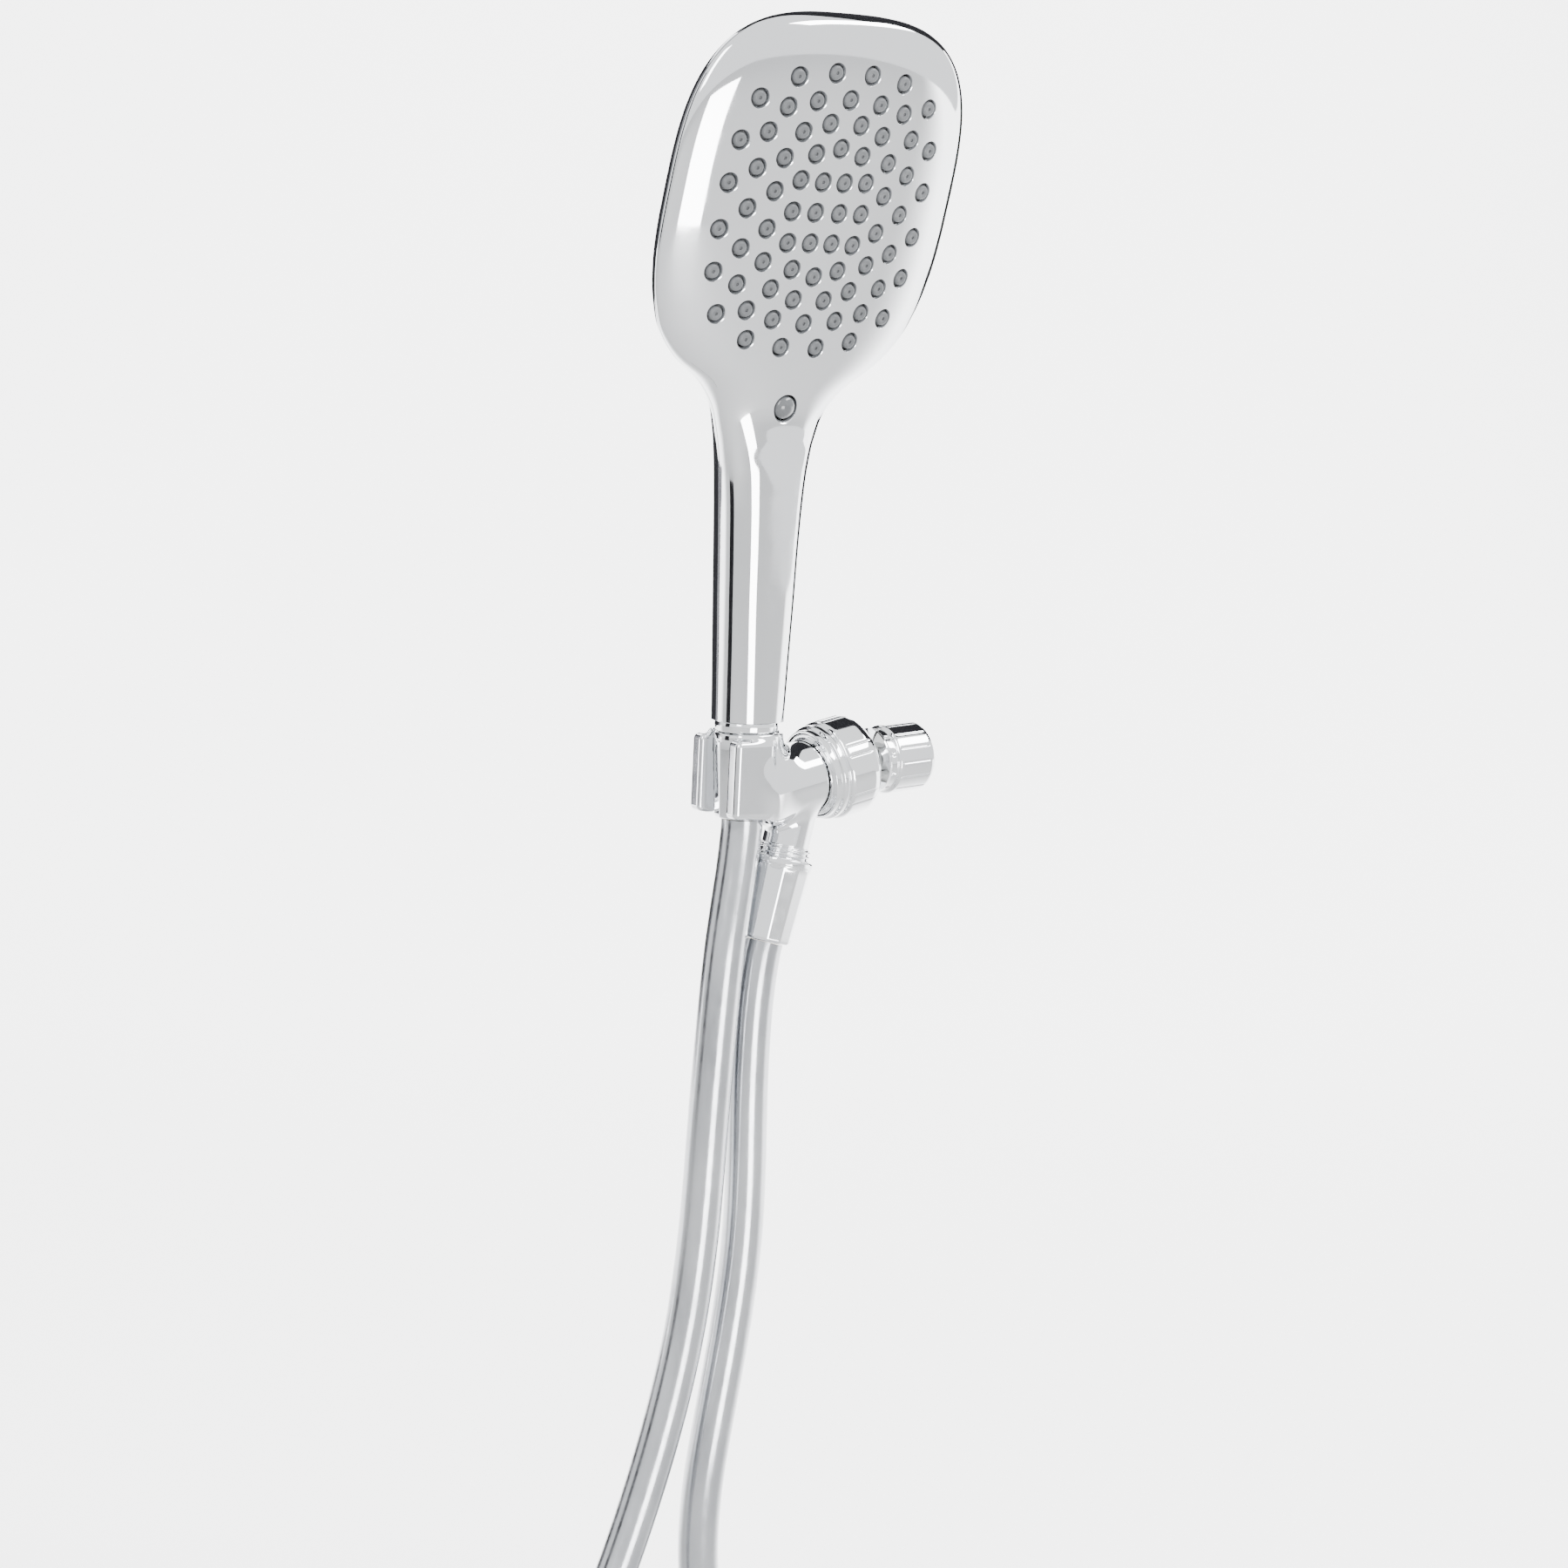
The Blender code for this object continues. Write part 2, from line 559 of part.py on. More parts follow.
def catmull(a, b, c, d, u):
    t1 = (b - a).length ** 0.5
    t2 = t1 + (c - b).length ** 0.5
    t3 = t2 + (d - c).length ** 0.5
    t = t1 + u * (t2 - t1)
    p = a.lerp(b, t / t1)
    q = b.lerp(c, (t - t1) / (t2 - t1))
    r = c.lerp(d, (t - t2) / (t3 - t2))
    return p.lerp(q, t / t2).lerp(q.lerp(r, (t - t1) / (t3 - t1)), (t - t1) / (t2 - t1))


def make_hose(parts):
    points = smooth_route([Vector(p) for p in HOSE_ROUTE], 22.0)
    tube_object("hose", points, HOSE_R, placed(cradle_at, (0, 0, 1)), parts, "hose_silver", 2)


clear_scene()
PARTS = new_collection("handheld_shower_head")
CUTTERS = new_collection("cutters")
make_inlet(PARTS)
make_bracket(PARTS, CUTTERS)
make_head(PARTS, CUTTERS)
make_button(PARTS, CUTTERS)
make_handle(PARTS)
make_hose(PARTS)
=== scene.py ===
import json
import math

import bmesh
import bpy
import numpy as np
from mathutils import Matrix, Vector
from mathutils.bvhtree import BVHTree


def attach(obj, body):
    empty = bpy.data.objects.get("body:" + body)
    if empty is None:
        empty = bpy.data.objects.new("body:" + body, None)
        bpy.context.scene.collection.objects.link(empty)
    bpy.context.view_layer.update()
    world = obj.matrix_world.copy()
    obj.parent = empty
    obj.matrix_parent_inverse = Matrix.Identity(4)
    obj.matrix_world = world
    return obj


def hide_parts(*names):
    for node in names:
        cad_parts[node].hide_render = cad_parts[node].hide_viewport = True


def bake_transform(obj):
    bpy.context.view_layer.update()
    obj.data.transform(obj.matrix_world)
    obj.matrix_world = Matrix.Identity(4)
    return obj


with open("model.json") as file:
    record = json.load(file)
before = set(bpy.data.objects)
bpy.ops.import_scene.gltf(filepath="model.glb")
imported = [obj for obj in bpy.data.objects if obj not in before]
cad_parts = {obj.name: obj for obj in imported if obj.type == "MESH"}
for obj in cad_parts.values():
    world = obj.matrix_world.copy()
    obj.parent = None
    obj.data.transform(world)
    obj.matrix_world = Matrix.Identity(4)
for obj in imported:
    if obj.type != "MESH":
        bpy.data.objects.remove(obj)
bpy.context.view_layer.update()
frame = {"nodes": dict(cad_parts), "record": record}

MM = 0.001
TAU = math.tau

# ---------------------------------------------------------------- shared frame, in millimetres

inlet_dir = Vector((0, math.cos(math.radians(3.8)), math.sin(math.radians(3.8))))
arm_dir = Vector((0, math.cos(math.radians(11.6)), math.sin(math.radians(11.6))))
stub_dir = Vector((0, -math.sin(math.radians(13)), -math.cos(math.radians(13))))
face_tilt = math.radians(15.8)
face_up = Vector((math.sin(face_tilt), 0, math.cos(face_tilt)))
face_out = Vector((math.cos(face_tilt), 0, -math.sin(face_tilt)))
ball_at = -35.0 * inlet_dir
cradle_at = ball_at - 49.0 * arm_dir
stub_at = cradle_at + 27.7 * arm_dir
FACE_CENTRE = (36.3, 221.5)
face_at = cradle_at + Vector((FACE_CENTRE[0], 0, FACE_CENTRE[1]))
NUT_LENGTH = 33.0
NUT_LOW_Z = -8.5
HOSE_R = 8.0
HOSE_BEND_SPAN = 560.0
SHELL = 1.8
BACKDROP_TURN = 143.5
FLOOR_Z = -0.66
FLAT_FLOOR = 2.5
FLOOR_CURVE = 1.8


def placed(origin, z_axis, x_axis=(1, 0, 0)):
    """Matrix of a local frame in millimetres whose +Z runs along z_axis."""
    z = Vector(z_axis).normalized()
    x = Vector(x_axis)
    x = (x - x.dot(z) * z).normalized()
    turn = Matrix((x, z.cross(x), z)).transposed().to_4x4()
    return Matrix.Translation(Vector(origin) * MM) @ turn @ Matrix.Scale(MM, 4)


AT_CRADLE = placed(cradle_at, (0, 0, 1))
AT_HEAD = placed(face_at, face_out, (0, 1, 0))

# ---------------------------------------------------------------- camera

VIEW_TURN = math.radians(53.5)
VIEW_RISE = math.radians(8.2)
VIEW_ROLL = math.radians(2.7)


def make_camera():
    """Long lens, to the side of the face, looking a little down on the bracket."""
    ct, st = math.cos(VIEW_TURN), math.sin(VIEW_TURN)
    cr, sr = math.cos(VIEW_RISE), math.sin(VIEW_RISE)
    back = Vector((st * cr, -ct * cr, sr))
    level = Vector((ct, st, 0))
    rise = Vector((-st * sr, ct * sr, cr))
    right = level * math.cos(VIEW_ROLL) + rise * math.sin(VIEW_ROLL)
    up = rise * math.cos(VIEW_ROLL) - level * math.sin(VIEW_ROLL)
    data = bpy.data.cameras.new("camera")
    data.lens = 90.0
    data.sensor_width = 36.0
    data.clip_start = 0.05
    data.clip_end = 40.0
    cam = bpy.data.objects.new("camera", data)
    bpy.context.scene.collection.objects.link(cam)
    target = (cradle_at + 15.7 * right + 4.3 * up) * MM
    turn = Matrix((right, up, back)).transposed().to_4x4()
    cam.matrix_world = Matrix.Translation(target + 1.5 * back) @ turn
    bpy.context.scene.camera = cam


# ---------------------------------------------------------------- mesh helpers

def new_object(name, points, faces, at, angle=35, fix=True):
    mesh = bpy.data.meshes.new(name)
    mesh.from_pydata([tuple(p) for p in points], [], [tuple(int(i) for i in f) for f in faces])
    if fix:
        bm = bmesh.new()
        bm.from_mesh(mesh)
        bmesh.ops.recalc_face_normals(bm, faces=bm.faces)
        bm.to_mesh(mesh)
        bm.free()
    mesh.transform(at)
    mesh.shade_smooth()
    mesh.set_sharp_from_angle(angle=math.radians(angle))
    thing = bpy.data.objects.new(name, mesh)
    bpy.context.scene.collection.objects.link(thing)
    return thing


def rounded(profile, radius, closed=False, steps=5):
    """The profile with each corner turned into a small arc."""
    pts = [np.array(p, float) for p in profile]
    count = len(pts)
    found = []
    for i in range(count):
        if not closed and i in (0, count - 1):
            found.append(pts[i])
            continue
        a, c, b = pts[i - 1], pts[i], pts[(i + 1) % count]
        la, lb = np.linalg.norm(a - c), np.linalg.norm(b - c)
        bend = np.dot((a - c) / la, (b - c) / lb)
        if bend < -0.995:
            found.append(c)
            continue
        d = min(radius, 0.45 * la, 0.45 * lb)
        p, q = c + (a - c) / la * d, c + (b - c) / lb * d
        for k in range(steps + 1):
            u = k / steps
            found.append((1 - u) ** 2 * p + 2 * u * (1 - u) * c + u * u * q)
    return found


def finer(profile, longest):
    """Extra points along straight runs, so that a shaped radius has something to move."""
    found = [profile[0]]
    for a, b in zip(profile, profile[1:]):
        a, b = np.array(a, float), np.array(b, float)
        count = max(1, int(np.linalg.norm(b - a) / longest))
        found += [a + (b - a) * i / count for i in range(1, count + 1)]
    return found


def lathe(name, profile, at, sides=96, shape=None, closed=False, angle=35):
    """A turned piece from (radius, height) points. shape(radius, height, angle) gives relief."""
    pts = np.array([tuple(p) for p in profile], float)
    turn = np.linspace(0, TAU, sides, endpoint=False)
    radius = np.repeat(pts[:, :1], sides, 1)
    height = np.repeat(pts[:, 1:], sides, 1)
    if shape is not None:
        radius = shape(radius, height, turn[None, :])
    grid = np.stack([radius * np.cos(turn), radius * np.sin(turn), height], -1)
    points, rows = [], []
    for i in range(len(pts)):
        if pts[i, 0] < 1e-6:
            rows.append([len(points)] * sides)
            points.append((0, 0, pts[i, 1]))
        else:
            rows.append(list(range(len(points), len(points) + sides)))
            points.extend(grid[i])
    faces = []
    pairs = list(zip(rows, rows[1:]))
    if closed:
        pairs.append((rows[-1], rows[0]))
    for low, high in pairs:
        for j in range(sides):
            k = (j + 1) % sides
            ring = [low[j], low[k], high[k], high[j]]
            face = [v for n, v in enumerate(ring) if v not in ring[:n]]
            if len(face) > 2:
                faces.append(face)
    return new_object(name, points, faces, at, angle)


def joined(name, things):
    """One object from several, keeping their shading."""
    bm = bmesh.new()
    for thing in things:
        bm.from_mesh(thing.data)
    mesh = bpy.data.meshes.new(name)
    bm.to_mesh(mesh)
    bm.free()
    for thing in things:
        bpy.data.objects.remove(thing)
    whole = bpy.data.objects.new(name, mesh)
    bpy.context.scene.collection.objects.link(whole)
    return whole


def piece(thing, body, slot, *nodes):
    """Finish, body and the CAD nodes that a new piece stands for."""
    thing.data.materials.clear()
    thing.data.materials.append(MATERIALS[slot])
    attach(thing, body)
    if nodes:
        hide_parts(*nodes)
    return thing


# ---------------------------------------------------------------- materials

def surface(name, dark, light, rough, metallic=0.0, scale=300.0, bump=0.05, coat=0.0,
            stretch=(1, 1, 1), wear=8.0, grain=0.0002):
    """A procedural surface: mottled colour, uneven polish and fine relief."""
    skin = bpy.data.materials.new(name)
    skin.use_nodes = True
    tree = skin.node_tree
    shader = tree.nodes["Principled BSDF"]
    shader.inputs["Metallic"].default_value = metallic
    shader.inputs["Coat Weight"].default_value = coat
    shader.inputs["Coat Roughness"].default_value = 0.06
    place = tree.nodes.new("ShaderNodeTexCoord")
    mapping = tree.nodes.new("ShaderNodeMapping")
    mapping.inputs["Scale"].default_value = stretch
    tree.links.new(place.outputs["Object"], mapping.inputs["Vector"])

    def noise(size, detail):
        made = tree.nodes.new("ShaderNodeTexNoise")
        made.inputs["Scale"].default_value = size
        made.inputs["Detail"].default_value = detail
        tree.links.new(mapping.outputs["Vector"], made.inputs["Vector"])
        return made

    patches = noise(wear, 4.0)
    fine = noise(scale, 6.0)
    ramp = tree.nodes.new("ShaderNodeValToRGB")
    ramp.color_ramp.elements[0].position = 0.3
    ramp.color_ramp.elements[0].color = (*dark, 1)
    ramp.color_ramp.elements[1].position = 0.7
    ramp.color_ramp.elements[1].color = (*light, 1)
    tree.links.new(patches.outputs["Fac"], ramp.inputs["Fac"])
    tree.links.new(ramp.outputs["Color"], shader.inputs["Base Color"])
    polish = tree.nodes.new("ShaderNodeMapRange")
    polish.inputs["From Min"].default_value = 0.3
    polish.inputs["From Max"].default_value = 0.7
    polish.inputs["To Min"].default_value = rough[0]
    polish.inputs["To Max"].default_value = rough[1]
    tree.links.new(fine.outputs["Fac"], polish.inputs["Value"])
    tree.links.new(polish.outputs["Result"], shader.inputs["Roughness"])
    relief = tree.nodes.new("ShaderNodeBump")
    relief.inputs["Strength"].default_value = bump
    relief.inputs["Distance"].default_value = grain
    tree.links.new(fine.outputs["Fac"], relief.inputs["Height"])
    tree.links.new(relief.outputs["Normal"], shader.inputs["Normal"])
    return skin


MATERIALS = {
    "chrome_plastic": surface("chrome_plastic", (0.82, 0.83, 0.85), (0.87, 0.88, 0.89),
                              (0.03, 0.07), 1.0, 120.0, 0.015, wear=14.0),
    "chrome_brass": surface("chrome_brass", (0.80, 0.81, 0.83), (0.86, 0.87, 0.88),
                            (0.04, 0.09), 1.0, 160.0, 0.02, wear=20.0),
    "black_rubber": surface("black_rubber", (0.012, 0.012, 0.013), (0.03, 0.03, 0.032),
                            (0.45, 0.65), 0.0, 900.0, 0.3),
    "steel": surface("steel", (0.48, 0.48, 0.49), (0.62, 0.62, 0.63),
                     (0.2, 0.38), 1.0, 700.0, 0.15, stretch=(1, 1, 6)),
    "white_plastic": surface("white_plastic", (0.74, 0.74, 0.72), (0.82, 0.82, 0.80),
                             (0.32, 0.45), 0.0, 800.0, 0.15),
    "grey_plastic": surface("grey_plastic", (0.25, 0.26, 0.27), (0.33, 0.34, 0.35),
                            (0.32, 0.45), 0.0, 800.0, 0.15),
    "brass": surface("brass", (0.62, 0.44, 0.18), (0.75, 0.58, 0.28),
                     (0.18, 0.34), 1.0, 500.0, 0.1),
    "grey_rubber": surface("grey_rubber", (0.10, 0.105, 0.11), (0.16, 0.165, 0.172),
                           (0.35, 0.5), 0.0, 900.0, 0.2, coat=0.15),
    "button_grey": surface("button_grey", (0.09, 0.094, 0.10), (0.14, 0.145, 0.15),
                           (0.12, 0.2), 0.0, 700.0, 0.06, coat=0.6),
    "hose_silver": surface("hose_silver", (0.40, 0.41, 0.43), (0.56, 0.57, 0.59),
                           (0.14, 0.26), 0.92, 420.0, 0.12, coat=0.6, stretch=(1, 1, 0.35),
                           wear=60.0),
}


def dress_cad_nodes():
    slots = {s["node"]: s["material_slot"] for s in frame["record"]["subparts"]}
    for name, thing in frame["nodes"].items():
        thing.data.materials.clear()
        thing.data.materials.append(MATERIALS[slots[name]])


# ---------------------------------------------------------------- hose

# Route under the cradle: x, y, z from the cradle axis, from the cone nut down and back to the stub
HOSE_ROUTE = [
    (0.0, 0.0, -8.8), (0.0, 0.0, -16.0), (0.4, -1.8, -30.0), (1.8, -6.6, -58.0), (1.8, -10.2, -112.0),
    (1.0, -12.4, -171.0), (0.0, -16.4, -210.0), (-1.0, -25.0, -250.0), (-2.0, -41.5, -301.0),
    (-4.0, -61.0, -348.0), (-6.0, -82.0, -396.0), (-8.5, -98.0, -444.0), (-11.0, -103.0, -492.0),
    (-13.0, -92.0, -537.0), (-14.5, -64.0, -571.0), (-15.0, -25.0, -583.5), (-14.5, 14.0, -573.0),
    (-13.0, 42.0, -540.0), (-11.0, 52.0, -496.0), (-9.0, 47.0, -448.0), (-6.0, 32.0, -401.0),
    (-4.0, 11.0, -356.0), (-2.0, -3.0, -312.0), (-0.5, -4.4, -276.0), (0.0, -1.0, -250.0),
    (0.0, 5.2, -213.0), (0.0, 9.2, -177.0), (0.0, 9.4, -144.0), (0.0, 8.4, -112.0),
    (0.0, 9.3, -77.0), (0.0, 10.8, -65.3), (0.0, 12.6, -57.5),
]


def catmull(a, b, c, d, u):
    t1 = (b - a).length ** 0.5
    t2 = t1 + (c - b).length ** 0.5
    t3 = t2 + (d - c).length ** 0.5
    t = t1 + u * (t2 - t1)
    p = a.lerp(b, t / t1)
    q = b.lerp(c, (t - t1) / (t2 - t1))
    r = c.lerp(d, (t - t2) / (t3 - t2))
    return p.lerp(q, t / t2).lerp(q.lerp(r, (t - t1) / (t3 - t1)), (t - t1) / (t2 - t1))


def smooth_route(knots, spacing):
    found = []
    ends = [2 * knots[0] - knots[1], *knots, 2 * knots[-1] - knots[-2]]
    for a, b, c, d in zip(ends, ends[1:], ends[2:], ends[3:]):
        count = max(1, round((c - b).length / spacing))
        for i in range(count):
            found.append(catmull(a, b, c, d, i / count))
    return found + [knots[-1]]


def relaxed(line, passes):
    """The line with its small changes of curvature evened out; the ends stay."""
    line = np.array(line, float)
    for _ in range(passes):
        line[2:-2] += 0.5 * ((line[1:-3] + line[3:-1]) / 2 - line[2:-2])
    return line


def make_hose():
    line = relaxed(smooth_route([Vector(p) for p in HOSE_ROUTE], 4.0), 12)
    line = line + np.array(cradle_at)
    step = np.gradient(line, axis=0)
    step /= np.linalg.norm(step, axis=1)[:, None]
    sides = 40
    turn = np.linspace(0, TAU, sides, endpoint=False)
    side = np.array((1.0, 0.0, 0.0))
    points = []
    for p, t in zip(line, step):
        side = side - side.dot(t) * t
        side /= np.linalg.norm(side)
        other = np.cross(t, side)
        points.extend(p + HOSE_R * (np.cos(turn)[:, None] * side + np.sin(turn)[:, None] * other))
    rows = len(line)
    faces = []
    for i in range(rows - 1):
        for j in range(sides):
            k = (j + 1) % sides
            faces.append((i * sides + j, i * sides + k, (i + 1) * sides + k, (i + 1) * sides + j))
    faces.append(tuple(range(sides)))
    faces.append(tuple(range((rows - 1) * sides, rows * sides)))
    hose = new_object("silver_hose", points, faces, Matrix.Scale(MM, 4), angle=50)
    hose.data.materials.append(MATERIALS["hose_silver"])
    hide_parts("hose")
    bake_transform(hose)
    along = np.concatenate([[0], np.cumsum(np.linalg.norm(np.diff(line, axis=0), axis=1))])
    share = np.clip(1 - along / HOSE_BEND_SPAN, 0, 1)
    share = share * share * (3 - 2 * share)


# ---------------------------------------------------------------- handset

HEAD_HALF_WIDTH = 64.2
HEAD_TOP = 71.4
CROWN_DEPTH = 12.0
REAR_DEPTH = 20.0
BUTTON_T = -75.5
NOZZLE_QUARTER = [
    (8.1, 51.9), (24.0, 49.5), (38.5, 40.5), (43.2, 24.7), (44.4, 8.7),
    (0.0, 42.5), (14.3, 41.3), (26.4, 38.3), (32.6, 28.7), (34.2, 15.1), (34.9, 0.0),
    (7.0, 33.4), (18.0, 29.7), (23.7, 19.6), (25.0, 7.1),
    (0.0, 24.4), (10.5, 21.9), (4.9, 11.6), (14.9, 11.9), (5.4, 0.0), (15.7, 0.0),
]


def nozzle_points():
    found = []
    for s, t in NOZZLE_QUARTER:
        for a in ((s, -s) if s else (s,)):
            for b in ((t, -t) if t else (t,)):
                found.append((a, b))
    return found


def superellipse(fraction, power):
    return max(0.0, 1 - abs(fraction) ** power) ** (1 / power)


def on_face(t, *rest):
    x = FACE_CENTRE[0] + t * face_up.x - CROWN_DEPTH * face_out.x
    z = FACE_CENTRE[1] + t * face_up.z - CROWN_DEPTH * face_out.z
    return (x, z, face_tilt, *rest)


def handset_rows(inset=0.0):
    """Closely spaced sections: parting x and z, tilt, half width, front, rear, front squareness."""
    keys = [
        (0.0, 29.3, 0, 13.6, 12.9, 13.6, 2.5),
        (0.0, 50.0, 0, 14.3, 13.2, 14.2, 2.6),
        (0.0, 75.0, 0, 15.3, 13.6, 14.8, 2.7),
        (0.0, 98.0, 1, 16.2, 14.0, 15.2, 2.7),
        (0.2, 115.0, 3, 17.2, 14.2, 15.4, 2.7),
        (0.9, 128.0, 7, 18.7, 13.9, 15.6, 2.6),
        (2.0, 139.0, 12, 21.2, 13.0, 15.6, 2.5),
    ]
    rows = [(x, z, math.radians(tilt), *rest) for x, z, tilt, *rest in keys]
    for t, width, rear, power in [
        (-76.4, 26.6, 15.6, 2.4), (-69.0, 33.6, 16.2, 2.3), (-61.2, 45.0, 16.9, 2.2),
        (-51.6, 54.0, 17.6, 2.1), (-40.1, 59.4, 18.4, 2.05), (-24.8, 63.0, 19.3, 2.0),
        (-7.6, HEAD_HALF_WIDTH, REAR_DEPTH, 2.0), (6.0, HEAD_HALF_WIDTH, REAR_DEPTH, 2.0),
    ]:
        rows.append(on_face(t, width, CROWN_DEPTH, rear, power))
    rows = np.array(rows)
    gap = np.linalg.norm(np.diff(rows[:, :2], axis=0), axis=1)
    along = np.concatenate([[0], np.cumsum(gap)])
    slope = np.gradient(rows, along, axis=0)
    found = []
    for k in range(len(rows) - 2):
        count = max(2, round(gap[k] / 2.0))
        for i in range(count):
            u = i / count
            a = (1 + 2 * u) * (1 - u) ** 2 * rows[k] + u * (1 - u) ** 2 * gap[k] * slope[k]
            b = u * u * (3 - 2 * u) * rows[k + 1] + u * u * (u - 1) * gap[k] * slope[k + 1]
            found.append(a + b - inset * np.array((0, 0, 0, 1, 1, 1, 0)))
    for turn in np.radians(np.linspace(-6.1, 89.3, 56)):
        share = max(math.sin(turn), 0)
        found.append(np.array(on_face(
            (HEAD_TOP - inset) * math.sin(turn), (HEAD_HALF_WIDTH - inset) * superellipse(share, 3.1),
            (CROWN_DEPTH - inset) * superellipse(share, 3.6),
            (REAR_DEPTH - inset) * superellipse(share, 2.4), 2.0,
        )))
    return found


def half_surface(side, across, inset=0.0):
    """Surface of the front (side +1) or rear (side -1) half, open at the parting line."""
    points = []
    for x, z, tilt, width, front, rear, power in handset_rows(inset):
        height = front if side > 0 else rear
        power = power if side > 0 else 2.0
        out = np.array((math.cos(tilt), 0, -math.sin(tilt)))
        for j in range(across + 1):
            a = math.pi * j / across
            s = width * math.copysign(abs(math.cos(a)) ** (2 / power), math.cos(a))
            q = height * abs(math.sin(a)) ** (2 / power) + 0.15
            points.append(np.array((x, s, z)) + side * q * out)
    last = len(points) - across - 1
    faces = []
    for start in range(0, last, across + 1):
        for a in range(start, start + across):
            quad = [a, a + across + 1, a + across + 2, a + 1]
            faces.append(quad if side > 0 else quad[::-1])
    rim = list(range(last, last + across + 1))
    faces.append(rim[::-1] if side > 0 else rim)
    return points, faces


def half_shell(name, side, across=96):
    """One moulded half with its outer and inner wall and its flat parting rim."""
    outer, faces = half_surface(side, across)
    inner, _ = half_surface(side, across, SHELL)
    count = len(outer)
    last = count - across - 1
    walls = faces + [[i + count for i in face[::-1]] for face in faces]
    edge = list(range(across + 1))
    edge += list(range(2 * across + 1, last + across + 1, across + 1))
    edge += list(range(last + across - 1, last - 1, -1)) + list(range(last - across - 1, 0, -across - 1))
    top = set(range(last + 1, last + across))
    for a, b in zip(edge, edge[1:] + edge[:1]):
        if not (a in top or b in top):
            walls.append([a, b, count + b, count + a])
    walls.append([last, last + across, count + last + across, count + last])
    return new_object(name, outer + inner, walls, AT_CRADLE, angle=60)


def baked(thing, angle=35):
    """The object's mesh with its modifiers applied."""
    bpy.context.view_layer.update()
    graph = bpy.context.evaluated_depsgraph_get()
    mesh = bpy.data.meshes.new_from_object(thing.evaluated_get(graph))
    thing.modifiers.clear()
    thing.data = mesh
    mesh.shade_smooth()
    mesh.set_sharp_from_angle(angle=math.radians(angle))
    return thing


def keep_curve_normals(thing, smooth):
    """Gives the loops on the outer surface the normals of the smooth surface before it was cut."""
    mesh = smooth.data
    tree = BVHTree.FromPolygons([v.co for v in mesh.vertices], [p.vertices for p in mesh.polygons])
    cut = thing.data
    near = {}
    for v in cut.vertices:
        where, _, index, gap = tree.find_nearest(v.co)
        if gap is None or gap > 0.03 * MM:
            continue
        total = Vector()
        for k in mesh.polygons[index].vertices:
            total += mesh.vertices[k].normal / ((mesh.vertices[k].co - where).length + 1e-6)
        near[v.index] = total.normalized()
    normals = []
    for face in cut.polygons:
        for k in face.vertices:
            found = near.get(k)
            ok = found is not None and found.dot(face.normal) > 0.96
            normals.append(found if ok else Vector((0, 0, 0)))
    cut.normals_split_custom_set(normals)


def copies(name, profile, places, sides):
    """One mesh of a small turned shape, repeated at each place and facing its normal."""
    parts = [lathe(name, profile, at, sides) for at in places]
    return joined(name, parts)


def facing(where, normal):
    z = normal.normalized()
    x = Vector((0, 1, 0))
    x = (x - x.dot(z) * z).normalized()
    turn = Matrix((x, z.cross(x), z)).transposed().to_4x4()
    return Matrix.Translation(where) @ turn @ Matrix.Scale(MM, 4)


